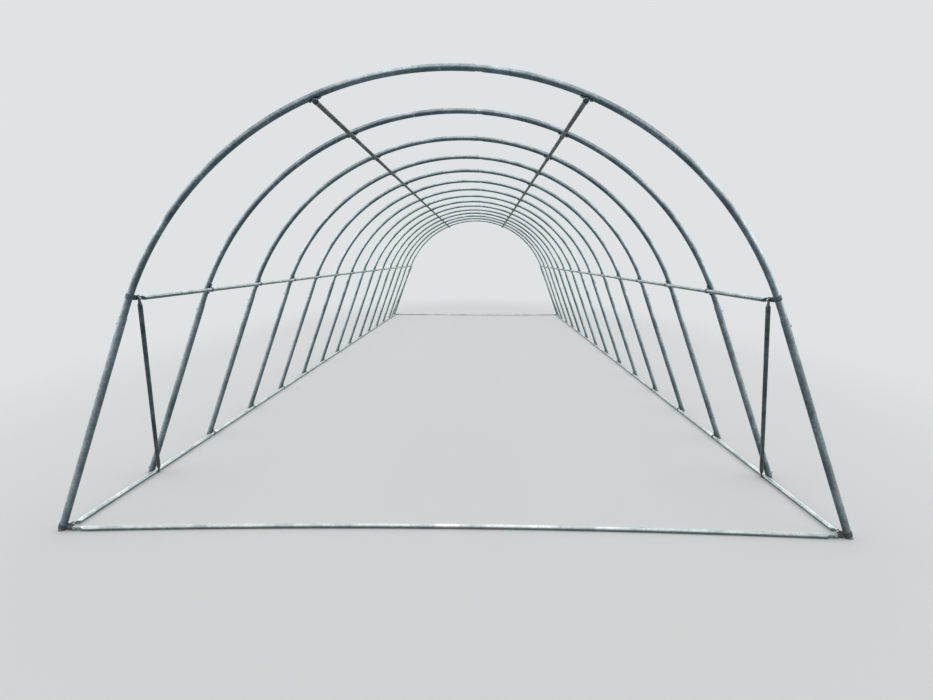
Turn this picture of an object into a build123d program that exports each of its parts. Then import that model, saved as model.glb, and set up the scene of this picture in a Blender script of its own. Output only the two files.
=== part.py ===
from build123d import *
import os
from math import acos, cos, degrees, pi, radians, sin

# Bare tube frame of a polytunnel greenhouse, in millimetres.
# +Y runs along the tunnel from the front hoop to the rear hoop, +X is to the right of someone
# who looks in at the front, +Z is up. The origin is at ground level in the middle of the plan.

# The run of hoops
hoop_count = 15
bay = 1100.0                # from one hoop to the next
foot_spread = 4460.0        # between the axes of the two legs at ground level
leg_lean = 19.4             # degrees that a leg leans in from upright
straight_side = 1350.0      # along the leg, from the ground to where the bend starts
leg_length = 1300.0         # along the leg, from the ground to the top of the leg tube

# Tubes
arch_od = 38.0
arch_wall = 2.0
leg_wall = 2.0
rail_od = 26.9
rail_wall = 2.0

# Joints between tubes
leg_insert = 150.0          # length of arch tube inside the leg tube
leg_slack = 0.2             # between the arch tube and the leg tube around it
crown_insert = 260.0        # length of the narrowed end inside the other arch, centred on the crown
crown_neck = 35.0           # length of the narrowed end that shows beside the crown joint
rail_insert = 80.0          # length of a rail's narrowed end inside the next length of rail
rail_neck = 6.0             # length of it that shows
shoulder = 3.0              # thickness of the step where a tube's end is narrowed
swage_gap = 0.3             # between a narrowed end and the tube around it
longest_tube_bays = 5       # whole bays that one length of rail may span

# Where the rails cross a hoop, measured along the hoop's axis from the ground
side_rail_at = 1420.0
purlin_at = 2940.0
purlin_overhang = 25.0      # beyond the axis of an end hoop

# Straps and bands bent from steel strip
seat_gap = 0.3              # between two pieces that rest on each other
strap_thick = 2.5
strap_wide = 25.0
ear_length = 20.0
hook_wrap = 30.0            # degrees that a base rail hook reaches past level
band_high = 28.0
lug_reach = 64.0            # from the hoop's axis to the end of a lug
bolt_at = 50.0              # from the hoop's axis to the bolt in a lug

# Flattened tube ends
tongue_trim = 1.45          # how far each edge of the tongue lies inside the round tube's side
tongue_long = 30.0          # from the bolt to where the tube starts to open out
flare_long = 30.0           # from there to the full round tube
brace_foot_lift = 6.0       # of the brace's lower bolt above the base rail's axis

# Ground bars across the two ends
bar_lug_thick = 5.0
bar_bow = 90.0              # how far the middle of the bar lies inside the end hoop's line

# Worked out from the sizes above
half_spread = foot_spread / 2
lean = radians(leg_lean)
arch_r = arch_od / 2
leg_r = arch_r + leg_slack + leg_wall
rail_r = rail_od / 2
tongue_thick = 2 * rail_wall
tongue_wide = rail_od - 2 * tongue_trim
strap_reach = rail_r + seat_gap + strap_thick + ear_length
bend_x = half_spread - straight_side * sin(lean)
bend_radius = bend_x / cos(lean)
bend_z = straight_side * cos(lean) - bend_radius * sin(lean)
crown_at = straight_side + bend_radius * (pi / 2 - lean)
half_length = bay * (hoop_count - 1) / 2
hoop_places = [bay * i - half_length for i in range(hoop_count)]
arch_start = leg_length - leg_insert
layer = 2 * strap_thick     # two strap thicknesses, as in a lug


def hoop_angle(at):
    """Angle of the hoop's outward side above level, at a distance along its axis."""
    return lean + max(0.0, at - straight_side) / bend_radius


def hoop_seat(at, y=0.0):
    """Plane on the hoop's axis: x along the tunnel, y up along the hoop, z outward."""
    turn = hoop_angle(at)
    if at <= straight_side:
        x, z = half_spread - at * sin(lean), at * cos(lean)
    else:
        x, z = bend_radius * cos(turn), bend_z + bend_radius * sin(turn)
    return Plane(origin=(x, y, z), x_dir=(0, 1, 0), z_dir=(cos(turn), 0, sin(turn)))


def seat_point(seat, x, y, z):
    """A point given in a seat's own directions, as a vector in the frame's."""
    return seat.origin + seat.x_dir * x + seat.y_dir * y + seat.z_dir * z


def seat_r(at):
    """Radius of the hoop tube that a strap or a band sits on: the leg or the arch."""
    return leg_r if at - strap_reach < leg_length else arch_r


def rail_depth(hoop_r):
    """From a hoop tube's axis inward to the axis of a rail that rests on it."""
    return hoop_r + seat_gap + rail_r


def ring_face(outer, inner):
    return Circle(outer) - Circle(inner)


def centred(plane, face, thickness):
    """A face on a plane made into a solid with half its thickness on each side."""
    return extrude(plane.offset(-thickness / 2) * face, thickness)


def along_hoop(start, end, outer, inner):
    """Tube on the right half of the hoop's axis, between two distances from the ground."""
    pieces = []
    if start < straight_side:
        seat = hoop_seat(start)
        section = Plane(origin=seat.origin, x_dir=seat.x_dir, z_dir=seat.y_dir)
        length = min(end, straight_side) - start
        pieces.append(extrude(section * ring_face(outer, inner), length))
    if end > straight_side:
        bend_start = max(start, straight_side)
        seat = hoop_seat(bend_start)
        section = Plane(origin=seat.origin, x_dir=seat.x_dir, z_dir=seat.y_dir)
        turn = degrees((end - bend_start) / bend_radius)
        axis = Axis((0, 0, bend_z), (0, -1, 0))
        pieces.append(revolve(section * ring_face(outer, inner), axis, turn))
    return pieces[0] if len(pieces) == 1 else pieces[0] + pieces[1]


def leg():
    """Leg tube, cut flat at the ground."""
    tube = along_hoop(-2 * leg_r, leg_length, leg_r, leg_r - leg_wall)
    return split(tube, bisect_by=Plane.XY, keep=Keep.TOP)


def plain_arch():
    """Arch tube with a plain end past the crown, as if on the right half."""
    return along_hoop(arch_start, crown_at + crown_insert / 2, arch_r, arch_r - arch_wall)


def swaged_arch():
    """Arch tube whose upper end is narrowed to go inside the plain one."""
    narrow_r = arch_r - arch_wall - swage_gap
    neck_start = crown_at - crown_insert / 2 - crown_neck
    body = along_hoop(arch_start, neck_start, arch_r, arch_r - arch_wall)
    step = along_hoop(neck_start - shoulder, neck_start, arch_r, narrow_r - arch_wall)
    neck = along_hoop(
        neck_start - shoulder, crown_at + crown_insert / 2, narrow_r, narrow_r - arch_wall
    )
    return body + step + neck


def rail_joints(start, end):
    """Places of the joints in a rail, each in the middle of a bay, and the two ends."""
    bays = hoop_count - 1
    lengths = -(-bays // longest_tube_bays)
    joints = [hoop_places[round(bays * i / lengths)] - bay / 2 for i in range(1, lengths)]
    return [start, *joints, end]


def rail_lengths(start, end):
    """The lengths of tube in a straight rail along +Y, on the Y axis."""
    inner = rail_r - rail_wall
    narrow = inner - swage_gap
    places = rail_joints(start, end)
    tubes = []
    for i, (near, far) in enumerate(zip(places, places[1:])):
        if i == len(places) - 2:
            outline = [(rail_r, near), (rail_r, far), (inner, far), (inner, near)]
        else:
            step = far - rail_neck
            tip = far + rail_insert
            outline = [
                (rail_r, near), (rail_r, step), (narrow, step), (narrow, tip),
                (narrow - rail_wall, tip), (narrow - rail_wall, step - shoulder),
                (inner, step - shoulder), (inner, near),
            ]
        tubes.append(revolve(make_face(Polyline(*outline, close=True)), Axis.Y))
    return tubes


def flat_end(bolt, towards, normal, tube_start):
    """Flattened end: a tongue round the bolt's centre, opening out to the round tube.

    towards points from the bolt to the tube in the tongue's own plane, and tube_start is
    a plane across the start of the round tube.
    """
    flat = Plane(origin=bolt, x_dir=towards, z_dir=normal)
    outline = Rectangle(tongue_long, tongue_wide, align=(Align.MIN, Align.CENTER))
    tongue = centred(flat, outline + Circle(tongue_wide / 2), tongue_thick)
    mouth = Plane(
        origin=bolt + towards * tongue_long, x_dir=flat.y_dir, z_dir=towards
    )
    flare = loft([
        mouth * SlotOverall(tongue_wide, tongue_thick),
        tube_start * Circle(rail_r),
    ])
    return tongue + flare


def strap_outline(depth, ear_at):
    """Outline of a strap round the inner side of a rail, open towards the hoop."""
    def space(r):
        sides = Rectangle(2 * r, depth - ear_at, align=(Align.CENTER, Align.MAX))
        disc = Pos(0, -depth) * Circle(r)
        return Pos(0, -ear_at) * sides + (disc & Pos(0, -ear_at) * below)

    inner = rail_r + seat_gap
    outer = inner + strap_thick
    below = Rectangle(4 * outer, 4 * outer, align=(Align.CENTER, Align.MAX))
    return space(outer) - space(inner)


def saddle(at):
    """Strap over a rail with an ear on each side, seated on the hoop."""
    hoop_r = seat_r(at)
    ear_at = hoop_r + seat_gap + strap_reach ** 2 / (2 * bend_radius)
    outline = strap_outline(rail_depth(hoop_r), ear_at)
    ear_wide = strap_thick + ear_length
    ear = Rectangle(ear_wide, strap_thick, align=(Align.CENTER, Align.MAX))
    for way in (1, -1):
        outline += Pos(way * (strap_reach - ear_wide / 2), -ear_at) * ear
    return hoop_seat(at) * centred(Plane.YZ, outline, strap_wide)


def base_seat_at():
    """Distance along the leg at which a base rail that lies on the ground touches it."""
    return (rail_r + seat_gap + rail_depth(leg_r) * sin(lean)) / cos(lean)


def hook():
    """Strap that hooks over a base rail, with one ear on the leg above it."""
    depth = rail_depth(leg_r)
    ear_at = leg_r + seat_gap
    inner = rail_r + seat_gap
    far = 3 * rail_od
    wrap = radians(hook_wrap)
    corners = [
        (0, -depth), (0, 0), (far, 0), (far, -depth - far),
        (-far * sin(wrap), -depth - far * cos(wrap)),
    ]
    ear = Pos(inner, -ear_at) * Rectangle(
        strap_thick + ear_length, strap_thick, align=(Align.MIN, Align.MAX)
    )
    outline = strap_outline(depth, ear_at) & make_face(Polyline(*corners, close=True))
    return hoop_seat(base_seat_at()) * centred(Plane.YZ, outline + ear, strap_wide)


def band(seat, tube_r):
    """Band round a hoop tube with a flat lug that points into the tunnel."""
    inner = tube_r + seat_gap
    ring = centred(Plane.XZ, ring_face(inner + strap_thick, inner), band_high)
    lug = Pos(lug_reach / 2, 0, -inner - layer / 2) * Box(lug_reach, band_high, layer)
    return seat * (ring + lug)


def lug_face(tube_r, layers=0):
    """Depth below a hoop's axis of the middle of a tongue stacked on a lug."""
    stack = tongue_thick + seat_gap
    return tube_r + 2 * seat_gap + layer + tongue_thick / 2 + layers * stack


def bar_axis_y(y):
    """Where a ground bar's tongue lies, just outside its lug, at the front end."""
    return y - bar_lug_thick - seat_gap - tongue_thick / 2


def foot_band(y):
    """Band round the foot of an end leg, with lugs for the base rail and the ground bar."""
    seat = hoop_seat(base_seat_at(), y)
    axis_z = rail_r + seat_gap
    leg_x = half_spread - axis_z * sin(lean) / cos(lean)
    plate = Pos(leg_x, y, axis_z) * Box(
        lug_reach + leg_r, bar_lug_thick, tongue_wide,
        align=(Align.MAX, Align.MAX, Align.CENTER),
    )
    leg_space = seat * Rot(90, 0, 0) * Cylinder(leg_r + seat_gap, 8 * leg_r)
    return band(seat, leg_r) + (plate - leg_space)


def end_rail(seat, hoop_r):
    """A rail in its lengths, each end flattened and bolted to the band on an end hoop."""
    depth = rail_depth(hoop_r)
    start = bolt_at + tongue_long + flare_long - half_length
    line = Plane(origin=seat_point(seat, 0, 0, -depth), x_dir=(1, 0, 0), z_dir=(0, 0, 1))
    tubes = [line * tube for tube in rail_lengths(start, -start)]
    bolt = seat_point(seat, bolt_at - half_length, 0, -lug_face(hoop_r))
    mouth = Plane(
        origin=seat_point(seat, start, 0, -depth), x_dir=seat.y_dir, z_dir=(0, 1, 0)
    )
    end = flat_end(bolt, Vector(0, 1, 0), seat.z_dir, mouth)
    tubes[0] += end
    tubes[-1] += mirror(end, Plane.XZ)
    return tubes


def side_rail():
    return end_rail(hoop_seat(side_rail_at), seat_r(side_rail_at))


def base_rail():
    return end_rail(hoop_seat(base_seat_at()), leg_r)


def purlin():
    """Roof purlin in its lengths, with plain ends just past the end hoops."""
    reach = half_length + purlin_overhang
    centre = seat_point(hoop_seat(purlin_at), 0, 0, -rail_depth(seat_r(purlin_at)))
    line = Plane(origin=centre, x_dir=(1, 0, 0), z_dir=(0, 0, 1))
    return [line * tube for tube in rail_lengths(-reach, reach)]


def brace():
    """Front corner brace, from the side rail's end down to the foot of the second hoop."""
    top_seat = hoop_seat(side_rail_at, hoop_places[0])
    foot_seat = hoop_seat(base_seat_at(), hoop_places[1])
    top = seat_point(top_seat, bolt_at, 0, -lug_face(seat_r(side_rail_at), 1))
    foot_depth = leg_r + 2 * (seat_gap + rail_r) + seat_gap + tongue_thick / 2
    foot = seat_point(foot_seat, 0, brace_foot_lift, -foot_depth)
    run = (foot - top).normalized()
    clear = tongue_long + flare_long

    def end(bolt, seat, way):
        towards = (way - seat.z_dir * way.dot(seat.z_dir)).normalized()
        across = seat.z_dir.cross(towards)
        mouth = Plane(origin=bolt + way * clear, x_dir=across, z_dir=way)
        return flat_end(bolt, towards, seat.z_dir, mouth)

    length = (foot - top).length - 2 * clear
    start = Plane(origin=top + run * clear, z_dir=run)
    tube = extrude(start * ring_face(rail_r, rail_r - rail_wall), length)
    return end(top, top_seat, run) + tube + end(foot, foot_seat, -run)


def ground_bar():
    """Front ground bar: a tube bowed slightly inward, flattened at both ends."""
    axis_z = rail_r + seat_gap
    y = bar_axis_y(hoop_places[0])
    leg_x = half_spread - axis_z * sin(lean) / cos(lean)
    bolt_x = leg_x - leg_r - bolt_at
    clear = tongue_long + flare_long
    chord = bolt_x - clear
    bow_radius = (chord ** 2 + bar_bow ** 2) / (2 * bar_bow)
    turn = acos((bow_radius - bar_bow) / bow_radius)
    section = Plane(
        origin=(chord, y, axis_z), x_dir=(0, 0, 1), z_dir=(-cos(turn), sin(turn), 0)
    )
    axis = Axis((0, y + bar_bow - bow_radius, axis_z), (0, 0, 1))
    tube = revolve(section * ring_face(rail_r, rail_r - rail_wall), axis, 2 * degrees(turn))
    bolt = Vector(bolt_x, y, axis_z)
    mouth = Plane(origin=section.origin, x_dir=(0, 0, 1), z_dir=section.z_dir)
    end = flat_end(bolt, Vector(-1, 0, 0), Vector(0, -1, 0), mouth)
    return tube + end + mirror(end, Plane.YZ)


def on_hoops(piece, first, last):
    """Copies of a piece on the hoops numbered first to last, counted from the front."""
    return [Pos(0, y, 0) * piece for y in hoop_places[first - 1:last]]


def left(solids):
    return [mirror(solid, Plane.YZ) for solid in solids]


def rear(solids):
    return [mirror(solid, Plane.XZ) for solid in solids]


nodes = {}
arch_tubes = [swaged_arch(), *left([plain_arch()])]
for number, place in enumerate(hoop_places, 1):
    nodes[f"arch_{number:02d}"] = [Pos(0, place, 0) * tube for tube in arch_tubes]

right_pieces = {
    "legs": on_hoops(leg(), 1, hoop_count),
    "side_rail": side_rail(),
    "base_rail": base_rail(),
    "roof_purlin": purlin(),
    "side_rail_straps": on_hoops(saddle(side_rail_at), 2, hoop_count - 1),
    "purlin_straps": on_hoops(saddle(purlin_at), 1, hoop_count),
    "base_rail_hooks": on_hoops(hook(), 3, hoop_count - 2),
}
for name, solids in right_pieces.items():
    nodes["right_" + name] = solids
    nodes["left_" + name] = left(solids)

front_y = hoop_places[0]
corner_pieces = {
    "brace": [brace()],
    "bands": [
        band(hoop_seat(side_rail_at, front_y), seat_r(side_rail_at)), foot_band(front_y)
    ],
}
for name, solids in corner_pieces.items():
    nodes["front_right_" + name] = solids
    nodes["front_left_" + name] = left(solids)
    nodes["rear_right_" + name] = rear(solids)
    nodes["rear_left_" + name] = rear(left(solids))

nodes["front_ground_bar"] = [ground_bar()]
nodes["rear_ground_bar"] = rear(nodes["front_ground_bar"])

os.makedirs("parts", exist_ok=True)
for name, solids in nodes.items():
    export_step(Compound(children=[s.solid() for s in solids]), f"parts/{name}.step")
    print(name, len(solids))
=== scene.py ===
from math import acos, ceil, cos, degrees, pi, radians, sin, sqrt

import bpy
from mathutils import Matrix, Vector


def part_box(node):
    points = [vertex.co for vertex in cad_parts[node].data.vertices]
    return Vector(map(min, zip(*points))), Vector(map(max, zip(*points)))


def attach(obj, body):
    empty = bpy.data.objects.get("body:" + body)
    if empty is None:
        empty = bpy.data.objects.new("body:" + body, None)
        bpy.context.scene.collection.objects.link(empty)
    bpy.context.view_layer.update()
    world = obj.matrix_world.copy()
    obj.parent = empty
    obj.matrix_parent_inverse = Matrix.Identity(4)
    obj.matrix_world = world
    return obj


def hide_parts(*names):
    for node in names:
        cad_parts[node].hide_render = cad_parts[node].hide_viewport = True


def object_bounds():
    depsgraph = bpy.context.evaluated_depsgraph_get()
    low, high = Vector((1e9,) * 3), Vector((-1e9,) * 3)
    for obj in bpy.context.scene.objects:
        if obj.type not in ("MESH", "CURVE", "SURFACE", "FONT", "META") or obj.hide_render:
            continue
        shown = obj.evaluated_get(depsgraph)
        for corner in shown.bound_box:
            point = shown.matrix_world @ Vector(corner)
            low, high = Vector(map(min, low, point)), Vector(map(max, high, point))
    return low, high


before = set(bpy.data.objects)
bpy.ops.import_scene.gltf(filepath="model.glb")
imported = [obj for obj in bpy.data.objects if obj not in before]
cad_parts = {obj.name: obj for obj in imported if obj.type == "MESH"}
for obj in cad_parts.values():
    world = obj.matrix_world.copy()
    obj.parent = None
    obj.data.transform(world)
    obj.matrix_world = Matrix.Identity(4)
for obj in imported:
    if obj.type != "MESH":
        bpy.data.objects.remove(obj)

# Bare hoop frame of a polytunnel in galvanised tube, in metres.
# +Y runs along the tunnel from the front hoop to the rear one, +X is to the right, +Z is up.

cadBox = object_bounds()
scene = bpy.context.scene
archNodes = sorted(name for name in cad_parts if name.startswith("arch_"))
hoopY = [(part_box(name)[0].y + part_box(name)[1].y) / 2 for name in archNodes]
hoopCount = len(hoopY)
bay = (hoopY[-1] - hoopY[0]) / (hoopCount - 1)
print("frame:", len(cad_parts), "nodes,", hoopCount, "hoops,", round(bay, 3), "m apart")

# The line that every hoop follows: a leaning leg and one round bend over the top
hoopLine = {
    "footSpread": 4.46,  # between the leg axes on the ground
    "legLean": 19.4,  # degrees from upright
    "straightSide": 1.35,  # along the leg to where the bend starts
}
lean = radians(hoopLine["legLean"])
straight = hoopLine["straightSide"]
halfSpread = hoopLine["footSpread"] / 2
bendX = halfSpread - straight * sin(lean)
bendRadius = bendX / cos(lean)
bendZ = straight * cos(lean) - bendRadius * sin(lean)
crownAt = straight + bendRadius * (pi / 2 - lean)

# Tube sizes, and the clearance between fitted pieces
tubes = {"archR": 0.019, "legR": 0.0212, "railR": 0.01345, "wall": 0.002, "deburr": 0.0004}
archR, legR, railR, wall, burr = tubes.values()
seatGap = 0.0003
tubeSides = 28
farFromCut = 1.0  # the mark of a ring that has no cut end near it
nearZero = 1e-9
unitX, unitY, unitZ = Vector((1, 0, 0)), Vector((0, 1, 0)), Vector((0, 0, 1))


def axesAt(centre, x, y, z):
    return Matrix.Translation(centre) @ Matrix((x, y, z)).transposed().to_4x4()


def seatAt(at, y=0.0):
    # A matrix on the hoop's axis: x along the tunnel, y up along the hoop, z outward
    turn = lean + max(0.0, at - straight) / bendRadius
    if at <= straight:
        x, z = halfSpread - at * sin(lean), at * cos(lean)
    else:
        x, z = bendRadius * cos(turn), bendZ + bendRadius * sin(turn)
    return axesAt((x, y, z), (0, 1, 0), (-sin(turn), 0, cos(turn)), (cos(turn), 0, sin(turn)))


def direction(seat, x, y, z):
    return (seat.to_3x3() @ Vector((x, y, z))).normalized()


# Closed shells are plain lists first, with two marks in metres: wrap, round and along the piece,
# and cutGap, from its nearest cut end

def newShell():
    return {"points": [], "faces": [], "wrap": [], "cutGap": []}


def addSkin(shell, rings, looped=False):
    # rings hold (points, along, cutGap); a skin that isn't looped gets a cap at each end
    first, count = len(shell["points"]), len(rings[0][0])
    for points, along, gap in rings:
        shell["points"] += points
        shell["cutGap"] += [gap] * count
    girth = sum((rings[0][0][k] - rings[0][0][k - 1]).length for k in range(count))
    girth = max(girth, 2 * pi * railR)
    for i in range(len(rings) if looped else len(rings) - 1):
        j = (i + 1) % len(rings)
        for k in range(count):
            m = (k + 1) % count
            shell["faces"].append([first + i * count + k, first + i * count + m,
                                   first + j * count + m, first + j * count + k])
            near, far = rings[i][1], rings[j][1]
            left, right = girth * k / count, girth * (k + 1) / count
            shell["wrap"].append([(left, near), (right, near), (right, far), (left, far)])
    if not looped:
        last = first + (len(rings) - 1) * count
        for face in (range(first + count - 1, first - 1, -1), range(last, last + count)):
            shell["faces"].append(list(face))
            shell["wrap"].append([(0.0, 0.0)] * count)
    return shell


def addShell(shell, other, move=Matrix.Identity(4)):
    # Adds a moved copy, turned right side out when the move mirrors it
    first = len(shell["points"])
    step = -1 if move.determinant() < 0 else 1
    shell["points"] += [move @ point for point in other["points"]]
    shell["cutGap"] += other["cutGap"]
    shell["faces"] += [[first + v for v in face[::step]] for face in other["faces"]]
    shell["wrap"] += [wrap[::step] for wrap in other["wrap"]]
    return shell


def meshFrom(name, shell, sharpAngle=32):
    mesh = bpy.data.meshes.new(name)
    mesh.from_pydata(shell["points"], [], shell["faces"])
    wrap = mesh.uv_layers.new(name="wrap")
    wrap.data.foreach_set("uv", [value for face in shell["wrap"] for uv in face for value in uv])
    gap = mesh.attributes.new("cutGap", "FLOAT", "POINT")
    gap.data.foreach_set("value", shell["cutGap"])
    mesh.shade_smooth()
    mesh.set_sharp_from_angle(angle=radians(sharpAngle))
    mesh.validate()
    return mesh


def placeAt(centre, across, normal):
    return axesAt(centre, across, normal, across.cross(normal))


def ease(t):
    return t * t * (3 - 2 * t)


def spread(start, end, longest):
    # Evenly spaced distances from start to end, both kept
    steps = max(1, ceil(abs(end - start) / longest))
    return [start + (end - start) * i / steps for i in range(steps + 1)]


def slotRing(place, wide, thick):
    # Half sizes of a slot, which is a circle where the two are equal
    points = []
    for k in range(tubeSides):
        c, s = cos(2 * pi * k / tubeSides), sin(2 * pi * k / tubeSides)
        side = (c > nearZero) - (c < -nearZero)
        x = side * max(wide - thick, 0.0) + min(wide, thick) * c
        points.append(place @ Vector((x, thick * s, 0)))
    return points


def tubeSkin(shell, placeOf, outside, bore):
    # Lists of (distance, radius) along the outside and back through the bore of an open tube
    ends = outside[0][0], outside[-1][0]
    rings = [(slotRing(placeOf(at), r, r), at, min(at - ends[0], ends[1] - at))
             for at, r in outside + bore]
    return addSkin(shell, rings, looped=True)


def narrowing(start, length, big, small, steps=5):
    return [(start + length * i / steps, big + (small - big) * ease(i / steps)) for i in range(steps + 1)]


def squareEnd(at, way, outer, inner):
    # A tube's cut end with its edges taken off; way is 1 at the far end, -1 at the near one
    rim = [(at - way * burr, outer), (at, outer - burr), (at, inner + burr), (at - way * burr, inner)]
    return (rim[:2], rim[2:]) if way > 0 else (rim[:2][::-1], rim[2:][::-1])


# Geometry Nodes: each tree is run on a piece, which keeps the result as a plain mesh

def setInputs(tree, node, links):
    # Each input gets a value, another node's output, or a node that stands for its first output
    for key, value in links.items():
        if isinstance(value, bpy.types.Node):
            value = value.outputs[0]
        if isinstance(value, bpy.types.NodeSocket):
            tree.links.new(value, node.inputs[key])
        else:
            node.inputs[key].default_value = value


def addNode(tree, kind, links=None, **settings):
    node = tree.nodes.new(kind)
    for key, value in settings.items():
        setattr(node, key, value)
    setInputs(tree, node, links or {})
    return node


def limits(end, values):
    return {end + " Min": values[0], end + " Max": values[1]}


def newTree(name, inputs):
    tree = bpy.data.node_groups.new(name, "GeometryNodeTree")
    tree.is_modifier = True
    for label, kind in inputs.items():
        tree.interface.new_socket(label, in_out="INPUT", socket_type="NodeSocket" + kind)
    tree.interface.new_socket("Geometry", in_out="OUTPUT", socket_type="NodeSocketGeometry")
    return tree, addNode(tree, "NodeGroupInput").outputs


def endTree(tree, copies, finish):
    real = addNode(tree, "GeometryNodeRealizeInstances", {0: copies})
    done = addNode(tree, "GeometryNodeSetMaterial", {"Geometry": real, "Material": finish})
    addNode(tree, "NodeGroupOutput", {0: done})
    return tree


def runTree(piece, tree, values):
    modifier = piece.modifiers.new(tree.name, "NODES")
    modifier.node_group = tree
    for item in tree.interface.items_tree:
        if item.in_out == "INPUT" and item.name in values:
            modifier[item.identifier] = values[item.name]
    graph = bpy.context.evaluated_depsgraph_get()
    mesh = bpy.data.meshes.new_from_object(
        piece.evaluated_get(graph), preserve_all_data_layers=True, depsgraph=graph)
    piece.modifiers.remove(modifier)
    piece.data = mesh
    mesh.name = piece.name


def makeTunnelTree():
    # Copies of a piece at every hoop from Start, mirrored by a Scale of -1
    tree, given = newTree("alongTunnel", {
        "Geometry": "Geometry", "Count": "Int", "Spacing": "Float", "Start": "Float",
        "Scale": "Vector", "Seed": "Int", "Finish": "Material"})
    turned = addNode(tree, "GeometryNodeTransform", {
        "Geometry": given["Geometry"], "Scale": given["Scale"]})
    parts = addNode(tree, "ShaderNodeSeparateXYZ", {0: given["Scale"]})
    sign = addNode(tree, "ShaderNodeMath", {0: parts, 1: parts.outputs[1]}, operation="MULTIPLY")
    mirrored = addNode(tree, "FunctionNodeCompare", {
        0: sign, 1: 0.0}, data_type="FLOAT", operation="LESS_THAN")
    flipped = addNode(tree, "GeometryNodeFlipFaces", {"Mesh": turned})
    outward = addNode(tree, "GeometryNodeSwitch", {
        "Switch": mirrored, "False": turned, "True": flipped}, input_type="GEOMETRY")
    start = addNode(tree, "ShaderNodeCombineXYZ", {1: given["Start"]})
    offset = addNode(tree, "ShaderNodeCombineXYZ", {1: given["Spacing"]})
    line = addNode(tree, "GeometryNodeMeshLine", {
        "Count": given["Count"], "Start Location": start, "Offset": offset})
    copies = addNode(tree, "GeometryNodeInstanceOnPoints", {"Points": line, "Instance": outward})
    shade = addNode(tree, "FunctionNodeRandomValue", {"Seed": given["Seed"]}, data_type="FLOAT")
    shaded = addNode(tree, "GeometryNodeStoreNamedAttribute", {
        "Geometry": copies, "Name": "shade", "Value": shade.outputs[1]},
        data_type="FLOAT", domain="INSTANCE")
    return endTree(tree, shaded, given["Finish"])


def makeFastenerTree():
    # One fastener on every point, its head along the point's axis, turned at random
    tree, given = newTree("fastenersOnPoints", {
        "Geometry": "Geometry", "Fastener": "Object", "Seed": "Int", "Finish": "Material"})
    fastener = addNode(tree, "GeometryNodeObjectInfo", {"Object": given["Fastener"]})
    axis = addNode(tree, "GeometryNodeInputNamedAttribute", {"Name": "axis"}, data_type="FLOAT_VECTOR")
    aligned = addNode(tree, "FunctionNodeAlignRotationToVector", {"Vector": axis}, axis="Z")
    angle = addNode(tree, "FunctionNodeRandomValue", {"Seed": given["Seed"]}, data_type="FLOAT")
    angle.inputs[3].default_value = 2 * pi
    spin = addNode(tree, "ShaderNodeCombineXYZ", {2: angle.outputs[1]})
    twist = addNode(tree, "FunctionNodeEulerToRotation", {0: spin})
    turned = addNode(tree, "FunctionNodeRotateRotation", {
        "Rotation": aligned, "Rotate By": twist}, rotation_space="LOCAL")
    copies = addNode(tree, "GeometryNodeInstanceOnPoints", {
        "Points": given["Geometry"], "Instance": fastener.outputs["Geometry"], "Rotation": turned})
    return endTree(tree, copies, given["Finish"])


tunnelTree = makeTunnelTree()
fastenerTree = makeFastenerTree()
print("node trees ready")


# Materials

def linear(colour):
    values = [int(colour[i:i + 2], 16) / 255 for i in (1, 3, 5)]
    return (*[v / 12.92 if v <= 0.04045 else ((v + 0.055) / 1.055) ** 2.4 for v in values], 1.0)


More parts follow.
